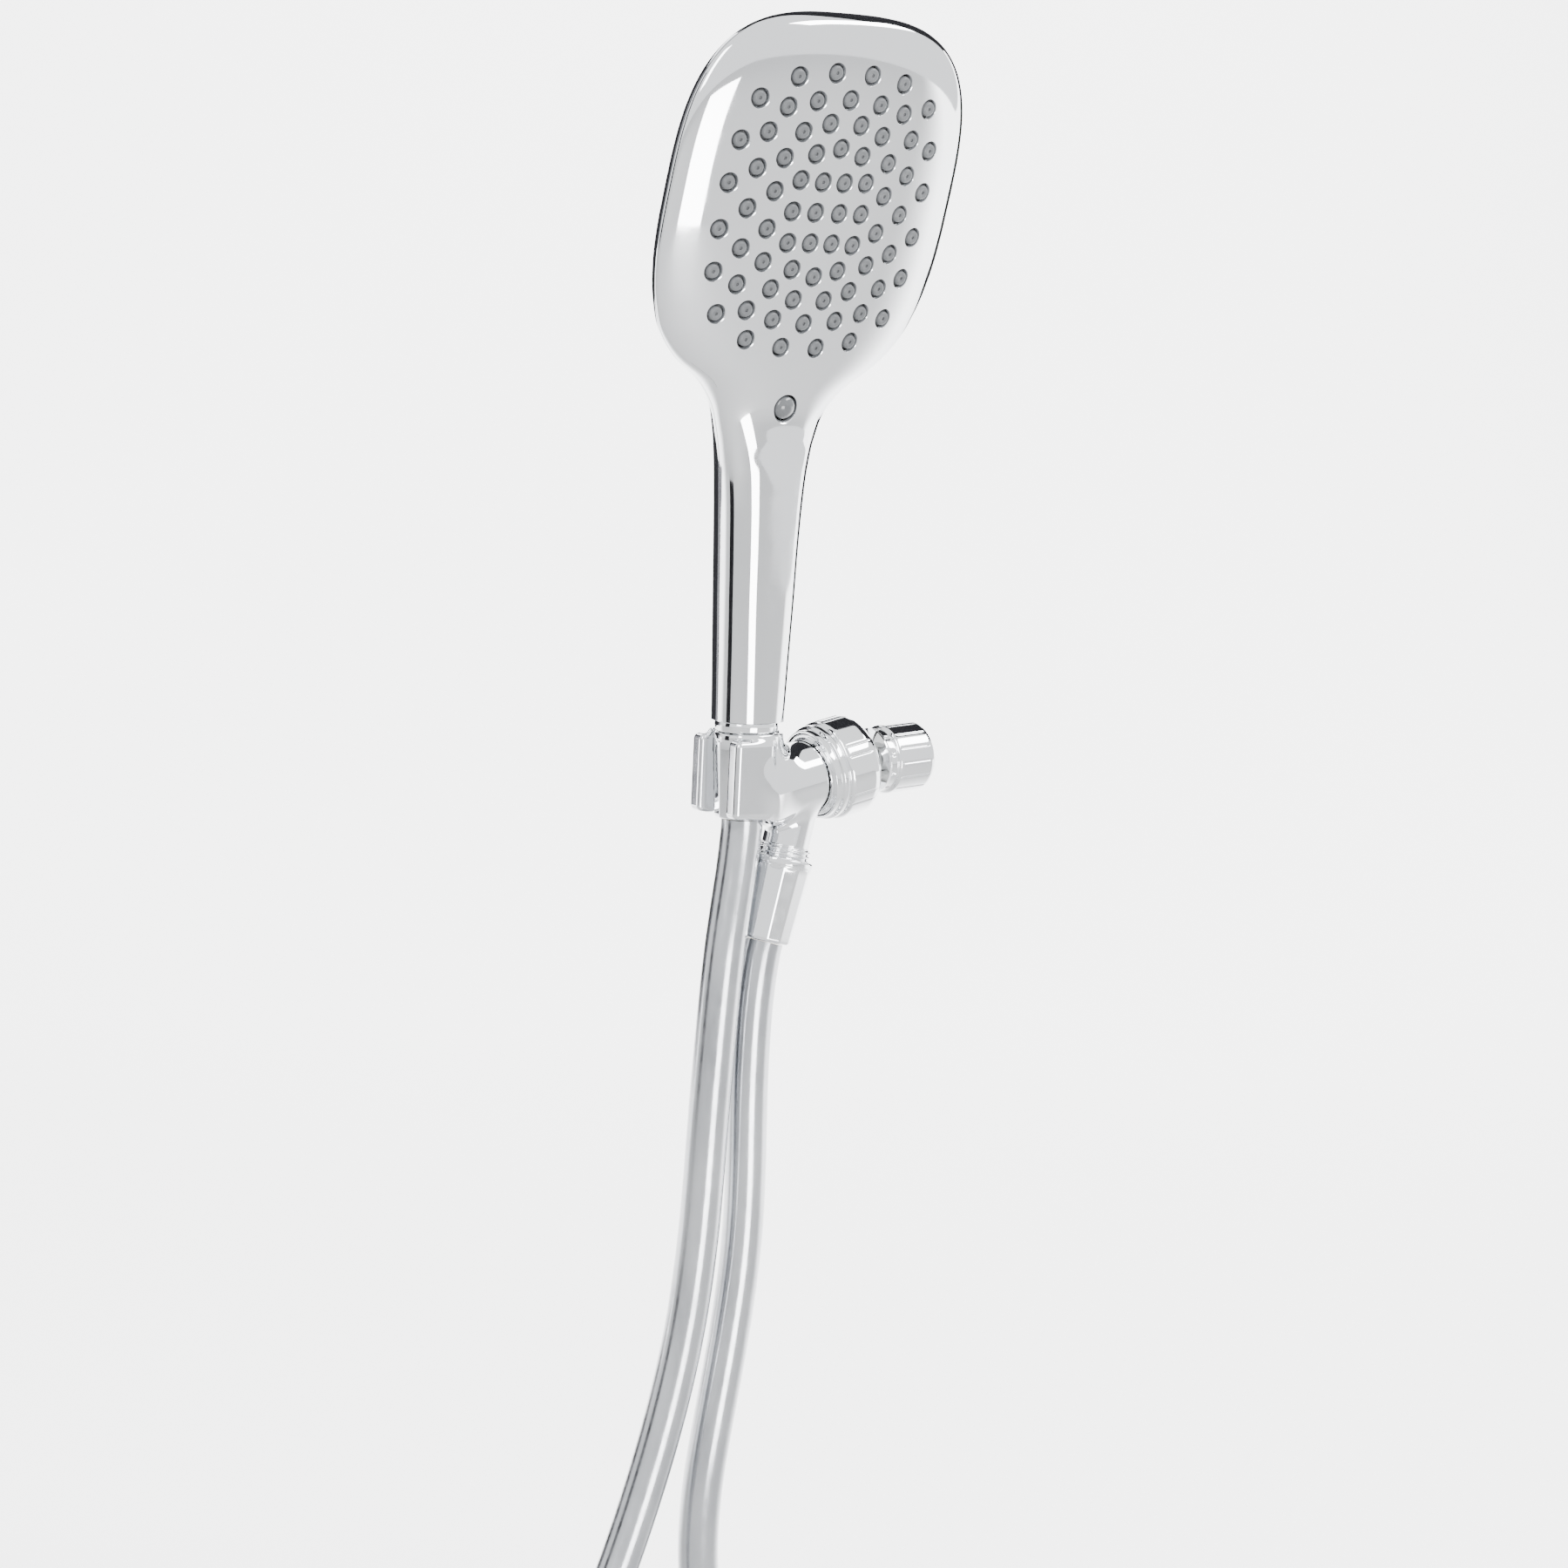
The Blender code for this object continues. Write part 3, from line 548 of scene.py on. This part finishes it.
def make_handset():
    piece(half_shell("rear_half", -1), "handset", "chrome_plastic", "rear_shell")

    front = half_shell("front_half", 1)
    points, faces = half_surface(1, 96)
    smooth = new_object("smooth_front", points, faces, AT_CRADLE, angle=180, fix=False)
    tree = BVHTree.FromPolygons([v.co for v in smooth.data.vertices],
                                [p.vertices for p in smooth.data.polygons])
    out = Vector(AT_HEAD.col[2][:3]).normalized()

    def hit(s, t):
        where, normal, _, _ = tree.ray_cast(AT_HEAD @ Vector((s, t, 60)), -out)
        return where, normal if normal.dot(out) > 0 else -normal

    spots = []
    for s, t in nozzle_points():
        where, normal = hit(s, t)
        spots.append(facing(where, (normal + 0.6 * out).normalized()))
    hole = [(0, 1.2), (5.1, 1.2), (3.95, 0.05), (3.6, -0.45), (3.3, -1.0), (3.2, -1.3), (3.2, -5),
            (0, -5)]
    cutter = copies("hole_cutter", hole, spots, 32)
    dome_at, _ = hit(0, BUTTON_T)
    dome_hole = [(0, 1.5), (6.6, 1.5), (5.3, 0.1), (5.0, -0.6), (5.0, -5), (0, -5)]
    dome_hole = lathe("dome_cutter", dome_hole, facing(dome_at, out), 48)
    cutter = joined("face_cutter", [cutter, dome_hole])
    cut = front.modifiers.new("holes", "BOOLEAN")
    cut.operation = "DIFFERENCE"
    cut.object = cutter
    cut.solver = "EXACT"
    baked(front, 32)
    keep_curve_normals(front, smooth)
    bpy.data.objects.remove(cutter)
    piece(front, "handset", "chrome_plastic", "face_plate")

    nub = rounded([(0, -0.55), (0.55, -0.55), (0.62, 0.15), (1.9, 0.3), (2.55, -0.1), (2.8, -0.9),
                   (2.9, -2.6)], 0.25)
    nubs = copies("nozzle_nubs", nub, spots, 24)
    grid, fan = [], []
    steps = 44
    for i in range(steps + 1):
        for j in range(steps + 1):
            u, v = 2 * i / steps - 1, 2 * j / steps - 1
            s = 49.0 * u * (1 - 0.16 * v * v * abs(u))
            t = 54.5 * v * (1 - 0.16 * u * u * abs(v))
            where, _ = hit(s, t)
            grid.append(where - 2.3 * MM * out)
    for i in range(steps):
        for j in range(steps):
            a = i * (steps + 1) + j
            fan.append((a, a + steps + 1, a + steps + 2, a + 1))
    base = new_object("mat_base", grid, fan, Matrix.Identity(4), fix=False)
    thick = base.modifiers.new("thick", "SOLIDIFY")
    thick.thickness = 1.1 * MM
    thick.offset = -1
    baked(base)
    mat = joined("soft_nozzles", [nubs, base])
    mat.data.shade_smooth()
    mat.data.set_sharp_from_angle(angle=math.radians(40))
    piece(mat, "handset", "grey_rubber", "nozzle_mat")
    bpy.data.objects.remove(smooth)


def make_button():
    at = AT_HEAD @ Matrix.Translation(Vector((0, BUTTON_T, 0)))
    dome = [(0, 1.95)]
    dome += [(4.5 * math.sin(a), -1.1 + 3.05 * math.cos(a)) for a in np.linspace(0.15, 1.45, 12)]
    dome += [(4.55, -1.2), (4.4, -3.6), (1.6, -3.6), (1.6, -6.4), (0, -6.4)]
    piece(lathe("mode_dome", dome, at, 64), "button", "button_grey", "mode_button")


def threaded(name, at, root, crest, low, high, pitch=1.81, inner=None, sides=96):
    """A helical ridge between low and high, fading out at both ends."""
    heights = np.arange(low, high + 1e-6, pitch / 10)

    def ridge(radius, height, turn):
        phase = np.mod(height / pitch - turn / TAU, 1.0)
        wave = np.clip(1.25 - 2.5 * np.abs(phase - 0.5), 0, 0.92) / 0.92
        fade = np.clip((height - low) / 0.8, 0, 1) * np.clip((high - height) / 0.8, 0, 1)
        outer = root + (crest - root) * wave * fade
        return np.where(radius > (inner or 0) + 0.01, outer, radius)

    bore = inner or 0
    profile = [(bore, high)] + [(root, h) for h in heights[::-1]] + [(bore, low)]
    return lathe(name, profile, at, sides, ridge, closed=bool(inner), angle=50)


def facets(count, top):
    """Relief that turns a round wall into broad flats, except above the height top."""
    half = math.pi / count

    def shape(radius, height, turn):
        phi = np.mod(turn, 2 * half) - half
        flat = math.cos(half) / np.cos(phi)
        flat = 1 - np.sqrt((1 - flat) ** 2 + 1e-7)
        flat = np.minimum(flat, 0.9975)
        wall = (radius > 9.0) & (height < top)
        blend = np.clip((top - height) / 0.8, 0, 1)
        return np.where(wall, radius * (1 - blend * (1 - flat)), radius)

    return shape


def cone_nut(name, at):
    end = -NUT_LENGTH
    outside = [
        (10.5, 0), (11.7, 0), (12.3, -0.6), (12.3, -2.5), (12.0, -3.0), (12.15, -3.5),
        (10.75, end + 1.1), (10.3, end + 0.25), (9.4, end),
    ]
    inside = [(8.5, end), (8.5, -16.0), (10.5, -16.0)]
    profile = finer(rounded(outside, 0.4), 1.2) + inside
    return lathe(name, profile, at, 192, facets(12, -3.1), closed=True, angle=40)


def make_hose_nuts():
    nut_at = placed(cradle_at + Vector((0, 0, NUT_LOW_Z + NUT_LENGTH)), (0, 0, 1))
    piece(cone_nut("upper_cone_nut", nut_at), "handset", "chrome_brass", "cone_nut")
    low_at = placed(stub_at + 31.4 * stub_dir, -stub_dir)
    piece(cone_nut("outlet_cone_nut", low_at), "outlet_nut", "chrome_brass", "lower_nut")


def make_nipple():
    collar = rounded([
        (5.0, 32.0), (7.0, 32.0), (7.0, 44.0), (9.8, 44.0), (9.8, 29.4), (12.1, 29.0), (12.35, 27.6),
        (12.1, 25.2), (11.2, 24.8), (9.7, 24.7), (9.7, 14.2), (5.0, 14.2),
    ], 0.35, closed=True)
    foot = lathe("handle_foot", collar, AT_CRADLE, 96, closed=True)
    thread = threaded("handle_thread", AT_CRADLE, 9.5, 10.2, 14.2, 24.9, inner=6.0)
    piece(joined("threaded_nipple", [foot, thread]), "handset", "chrome_brass", "handle_nipple")


# ---------------------------------------------------------------- bracket

def smin(a, b, k):
    h = np.clip(0.5 + 0.5 * (b - a) / k, 0, 1)
    return b * (1 - h) + a * h - k * h * (1 - h)


def smax(a, b, k):
    return -smin(-a, -b, k)


def sd_box(p, low, high, radius):
    low, high = np.array(low, float), np.array(high, float)
    q = np.abs(p - (low + high) / 2) - ((high - low) / 2 - radius)
    return np.linalg.norm(np.maximum(q, 0), axis=1) + np.minimum(q.max(1), 0) - radius


def sd_rod(p, origin, axis, radius, low, high, round_r=0.4):
    w = p - np.array(origin)
    d = w @ np.array(axis)
    rho = np.linalg.norm(w - d[:, None] * np.array(axis), axis=1)
    a = rho - (radius - round_r)
    b = np.abs(d - (low + high) / 2) - ((high - low) / 2 - round_r)
    q = np.stack([a, b], 1)
    return np.linalg.norm(np.maximum(q, 0), axis=1) + np.minimum(q.max(1), 0) - round_r


def bracket_field(p):
    """Signed distance to the bracket, from the cradle's axis, with its soft fillets."""
    ball = np.array(49.0 * arm_dir)
    stub = np.array(27.7 * arm_dir)
    arm, drop = np.array(arm_dir), np.array(stub_dir)
    body = sd_box(p, (-15.5, -14.3, -7.0), (15.5, 3.0, 23.0), 2.2)
    body = smin(body, sd_rod(p, (0, 0, 0), (0, 0, 1), 14.3, -7.0, 25.4, 1.2), 2.5)
    body = smin(body, sd_rod(p, ball, arm, 14.3, -44.0, -16.0, 1.0), 9.0)
    body = smin(body, sd_rod(p, ball, arm, 16.2, -16.6, -1.8, 0.5), 0.8)
    body = smin(body, sd_rod(p, stub, drop, 9.3, 0.0, 27.0, 0.4), 3.5)
    rho = np.linalg.norm(p[:, :2], axis=1)
    taper = (12.3 - 10.6) / NUT_LENGTH
    bore = rho - (10.95 + taper * (p[:, 2] + 8.5))
    slot = np.maximum(np.abs(p[:, 0]) - 8.6, p[:, 1] + 2.0)
    body = smax(body, -np.minimum(bore, slot), 1.6)
    w = p - ball
    bowl = np.linalg.norm(w, axis=1) - 12.3
    bowl = np.minimum(bowl, sd_rod(p, ball, arm, 12.3, 0, 20, 0.01))
    bowl = np.minimum(bowl, sd_rod(p, ball, arm, 6.0, -25, -9, 0.2))
    bowl = np.minimum(bowl, sd_rod(p, stub, drop, 6.5, 4, 45, 0.2))
    return np.maximum(body, -bowl)


def field_mesh(name, field, low, high, step, at):
    """Dual contour of a signed distance field, pulled on to its surface, with exact normals."""
    low = np.array(low, float)
    count = np.ceil((np.array(high) - low) / step).astype(int) + 1
    axes = [low[i] + step * np.arange(count[i]) for i in range(3)]
    nodes = np.stack(np.meshgrid(*axes, indexing="ij"), -1).reshape(-1, 3)
    inside = (field(nodes) < 0).reshape(count)
    total = sum(
        inside[i:count[0] - 1 + i, j:count[1] - 1 + j, k:count[2] - 1 + k].astype(int)
        for i in (0, 1) for j in (0, 1) for k in (0, 1)
    )
    cells = (total > 0) & (total < 8)
    index = -np.ones(cells.shape, int)
    index[cells] = np.arange(cells.sum())
    points = low + (np.argwhere(cells) + 0.5) * step
    quads = []
    for axis in range(3):
        u, v = [a for a in range(3) if a != axis]
        first = [slice(None)] * 3
        second = [slice(None)] * 3
        first[axis], second[axis] = slice(0, -1), slice(1, None)
        change = inside[tuple(first)] != inside[tuple(second)]
        where = np.argwhere(change)
        keep = (where[:, u] > 0) & (where[:, v] > 0)
        keep &= (where[:, u] < count[u] - 1) & (where[:, v] < count[v] - 1)
        where = where[keep]
        ring = []
        for du, dv in ((0, 0), (1, 0), (1, 1), (0, 1)):
            cell = where.copy()
            cell[:, u] -= du
            cell[:, v] -= dv
            ring.append(index[tuple(cell.T)])
        found = np.stack(ring, 1)
        start = inside[tuple(where.T)]
        flip = start if axis != 1 else ~start
        found[flip] = found[flip][:, ::-1]
        quads.append(found)
    quads = np.concatenate(quads)

    def slope(p):
        e = 0.02
        g = np.stack([
            field(p + np.eye(3)[i] * e) - field(p - np.eye(3)[i] * e) for i in range(3)
        ], 1)
        return g / (2 * e)

    pairs = np.concatenate([quads[:, [i, (i + 1) % 4]] for i in range(4)])
    for turn in range(5):
        g = slope(points)
        points = points - field(points)[:, None] * g / np.maximum((g * g).sum(1), 0.2)[:, None]
        if turn < 3:
            mean = np.zeros_like(points)
            number = np.zeros(len(points))
            for a, b in ((0, 1), (1, 0)):
                np.add.at(mean, pairs[:, a], points[pairs[:, b]])
                np.add.at(number, pairs[:, a], 1)
            points = 0.5 * points + 0.5 * mean / np.maximum(number, 1)[:, None]
    normal = slope(points)
    normal /= np.maximum(np.linalg.norm(normal, axis=1), 1e-6)[:, None]
    thing = new_object(name, points, quads, at, angle=180)
    turn = at.to_3x3()
    thing.data.normals_split_custom_set_from_vertices(
        [(turn @ Vector(n)).normalized() for n in normal]
    )
    return thing


def make_bracket():
    body = field_mesh("cradle_bracket", bracket_field, (-18, -17, -29), (18, 52, 31), 0.55, AT_CRADLE)
    piece(body, "bracket", "chrome_plastic", "bracket_body")
    at_stub = placed(stub_at, -stub_dir)
    thread = threaded("outlet_thread", at_stub, 9.5, 10.3, -41.8, -26.6, inner=6.5)
    piece(thread, "bracket", "chrome_plastic")


def grooves(angles, width, depth, low, high):
    """Thin grooves along the axis at the given angles, on the outer wall between low and high."""
    def shape(radius, height, turn):
        cut = np.zeros(np.broadcast(radius, turn).shape)
        for a in angles:
            off = (np.mod(turn - a + math.pi, TAU) - math.pi) * radius
            cut = np.maximum(cut, np.exp(-(off / width) ** 2))
        fade = np.clip((height - low) / 0.8, 0, 1) * np.clip((high - height) / 0.8, 0, 1)
        return np.where(radius > 11.5, radius - depth * cut * fade, radius)
    return shape


def make_ring():
    at_arm = placed(ball_at, arm_dir)
    outside = [
        (10.8, 6.7), (12.8, 6.7), (15.2, 6.1), (17.2, 4.9), (18.8, 2.9), (19.5, 0.6), (19.5, -9.4),
        (18.9, -10.4), (17.9, -10.8), (18.6, -11.6), (18.6, -13.6), (17.4, -14.2), (17.5, -14.8),
        (17.4, -16.8), (16.6, -16.8),
    ]
    inside = [(16.6, -1.2), (12.4, 1.0), (12.0, 3.0), (10.8, 5.6)]
    profile = finer(rounded(outside, 0.5), 0.9) + inside
    pairs = []
    for k in range(6):
        centre = math.radians(30 + 60 * k)
        pairs += [centre - 0.11, centre + 0.11]
    cut = grooves(pairs, 0.28, 0.45, -9.8, 1.8)
    ring = lathe("joint_ring", profile, at_arm, 360, cut, closed=True, angle=45)
    piece(ring, "ring", "chrome_plastic", "ring_nut")


def make_connector():
    at_ball = placed(ball_at, inlet_dir)
    outside = [(10.2, 35.0), (12.2, 35.0), (13.1, 34.3), (13.5, 33.0), (13.5, 18.1), (12.9, 17.4),
               (12.2, 17.1), (12.2, 13.9), (12.9, 13.3), (12.9, 12.4), (8.2, 12.4), (6.6, 11.4)]
    ball = [(10 * math.sin(a), 10 * math.cos(a)) for a in np.radians(np.linspace(41, 157, 28))]
    inside = [(4.0, 13.9), (5.6, 13.9), (5.6, 19.4), (7.0, 19.4), (7.0, 21.0), (10.2, 21.0)]
    profile = finer(rounded(outside[:10], 0.4), 0.5) + outside[10:] + ball + inside
    lines = grooves([TAU * k / 14 for k in range(14)], 0.3, 0.38, 18.6, 33.0)

    def shape(radius, height, turn):
        radius = lines(radius, height, turn)
        around = (np.mod(turn, TAU / 10) - TAU / 20) * radius
        dimple = np.exp(-((around / 0.85) ** 2 + ((height - 15.5) / 0.85) ** 2) ** 1.5)
        collar = (height > 13.6) & (height < 17.4) & (radius > 11.9)
        return np.where(collar, radius - 0.8 * dimple, radius)

    body = lathe("swivel_inlet", profile, at_ball, 360, shape, closed=True, angle=45)
    piece(body, "root", "chrome_brass", "ball_connector")


# ---------------------------------------------------------------- studio

def flat_skin(name, colour, rough, strength=0.0):
    skin = bpy.data.materials.new(name)
    skin.use_nodes = True
    shader = skin.node_tree.nodes["Principled BSDF"]
    shader.inputs["Base Color"].default_value = (*colour, 1)
    shader.inputs["Roughness"].default_value = rough
    shader.inputs["Specular IOR Level"].default_value = 0.1
    if strength:
        shader.inputs["Emission Color"].default_value = (1, 1, 1, 1)
        shader.inputs["Emission Strength"].default_value = strength
    return skin


def floor_glow_paint(toward):
    """Backdrop with a painted glow: it emits its own light, mid grey and faint on the camera's side and
    fading to bright white behind the object.
    """
    # painted glow: the floor emits light of its own (strength 3.6) rather than being lit by the lamps
    skin = flat_skin("floor_glow_paint", (0.9, 0.9, 0.9), 0.9, 3.6)
    tree = skin.node_tree
    shader = tree.nodes["Principled BSDF"]
    place = tree.nodes.new("ShaderNodeTexCoord")
    mapping = tree.nodes.new("ShaderNodeMapping")
    mapping.inputs["Rotation"].default_value = (0, 0, -toward)
    tree.links.new(place.outputs["Object"], mapping.inputs["Vector"])
    fade = tree.nodes.new("ShaderNodeTexGradient")
    fade.gradient_type = "EASING"
    tree.links.new(mapping.outputs["Vector"], fade.inputs["Vector"])
    # painted glow and colour, both graded: dim on the camera's side and bright white behind, so the
    # chrome reflects grey in front and white behind
    for socket, near in (("Base Color", 0.5), ("Emission Color", 0.05)):
        ramp = tree.nodes.new("ShaderNodeValToRGB")
        ramp.color_ramp.elements[0].color = (near, near, near, 1)
        ramp.color_ramp.elements[1].color = (0.92, 0.92, 0.92, 1)
        tree.links.new(fade.outputs["Fac"], ramp.inputs["Fac"])
        tree.links.new(ramp.outputs["Color"], shader.inputs[socket])
    return skin


def bearing(turn, rise):
    """Unit direction from the object, turn degrees from +X towards +Y and rise degrees up."""
    a, e = math.radians(turn), math.radians(rise)
    return Vector((math.cos(a) * math.cos(e), math.sin(a) * math.cos(e), math.sin(e)))


def facing_object(way, distance):
    """Place at the distance along way from the object's middle, turned to face it."""
    turn = way.to_track_quat("Z", "Y").to_matrix().to_4x4()
    return Matrix.Translation(Vector((0, -0.06, 0.1)) + way * distance) @ turn


def card(name, turn, rise, distance, width, height, skin):
    """A flat card that faces the object."""
    way = bearing(turn, rise)
    mesh = bpy.data.meshes.new(name)
    w, h = width / 2, height / 2
    mesh.from_pydata([(-w, -h, 0), (w, -h, 0), (w, h, 0), (-w, h, 0)], [], [(0, 1, 2, 3)])
    mesh.materials.append(skin)
    thing = bpy.data.objects.new(name, mesh)
    bpy.context.scene.collection.objects.link(thing)
    thing.matrix_world = facing_object(way, distance)


def soft_light(name, turn, rise, distance, size, power):
    data = bpy.data.lights.new(name, "AREA")
    data.shape = "RECTANGLE"
    data.size, data.size_y = size
    data.energy = power
    thing = bpy.data.objects.new(name, data)
    bpy.context.scene.collection.objects.link(thing)
    thing.matrix_world = facing_object(bearing(turn, rise), distance)


def make_studio():
    toward = bearing(BACKDROP_TURN, 0)
    across = Vector((-toward.y, toward.x, 0))
    rows = [(-6.0, 0.0), (FLAT_FLOOR, 0.0)]
    for a in np.linspace(0.1, math.pi / 2, 14):
        rows.append((FLAT_FLOOR + FLOOR_CURVE * math.sin(a), FLOOR_CURVE - FLOOR_CURVE * math.cos(a)))
    rows.append((FLAT_FLOOR + FLOOR_CURVE, 5.5))
    points = []
    for d, h in rows:
        for s in (-6.0, 6.0):
            points.append(toward * d + across * s + Vector((0, 0, FLOOR_Z + h)))
    faces = [(2 * i, 2 * i + 1, 2 * i + 3, 2 * i + 2) for i in range(len(rows) - 1)]
    floor = new_object("studio_floor", points, faces, Matrix.Identity(4), fix=False)
    floor.data.materials.append(floor_glow_paint(math.radians(BACKDROP_TURN)))

    dark = flat_skin("dark_card", (0.012, 0.012, 0.014), 0.9)
    grey = flat_skin("grey_card", (0.16, 0.16, 0.17), 0.9)
    card("card_behind", 190, 0, 3.2, 2.7, 4.2, dark)
    card("card_left", -106, 0, 3.2, 1.05, 4.2, dark)
    card("card_left_back", -148, 4, 3.2, 0.5, 4.0, grey)
    card("card_right", 108, 0, 3.2, 1.4, 4.0, dark)
    card("card_over", 124, 43, 3.3, 4.6, 2.4, dark)

    world = bpy.context.scene.world or bpy.data.worlds.new("studio")
    bpy.context.scene.world = world
    world.use_nodes = True
    sky = world.node_tree.nodes["Background"]
    sky.inputs["Color"].default_value = (0.97, 0.985, 1.0, 1)
    sky.inputs["Strength"].default_value = 1.7
    soft_light("key", 52, 46, 3.0, (2.4, 0.8), 85.0)
    soft_light("side", -62, 30, 3.2, (0.9, 2.2), 60.0)
    soft_light("low", -8, -22, 1.7, (0.7, 0.9), 26.0)


# ---------------------------------------------------------------- assembly

make_camera()
make_hose()
dress_cad_nodes()
make_handset()
make_button()
make_nipple()
make_hose_nuts()
make_bracket()
make_ring()
make_connector()
make_studio()
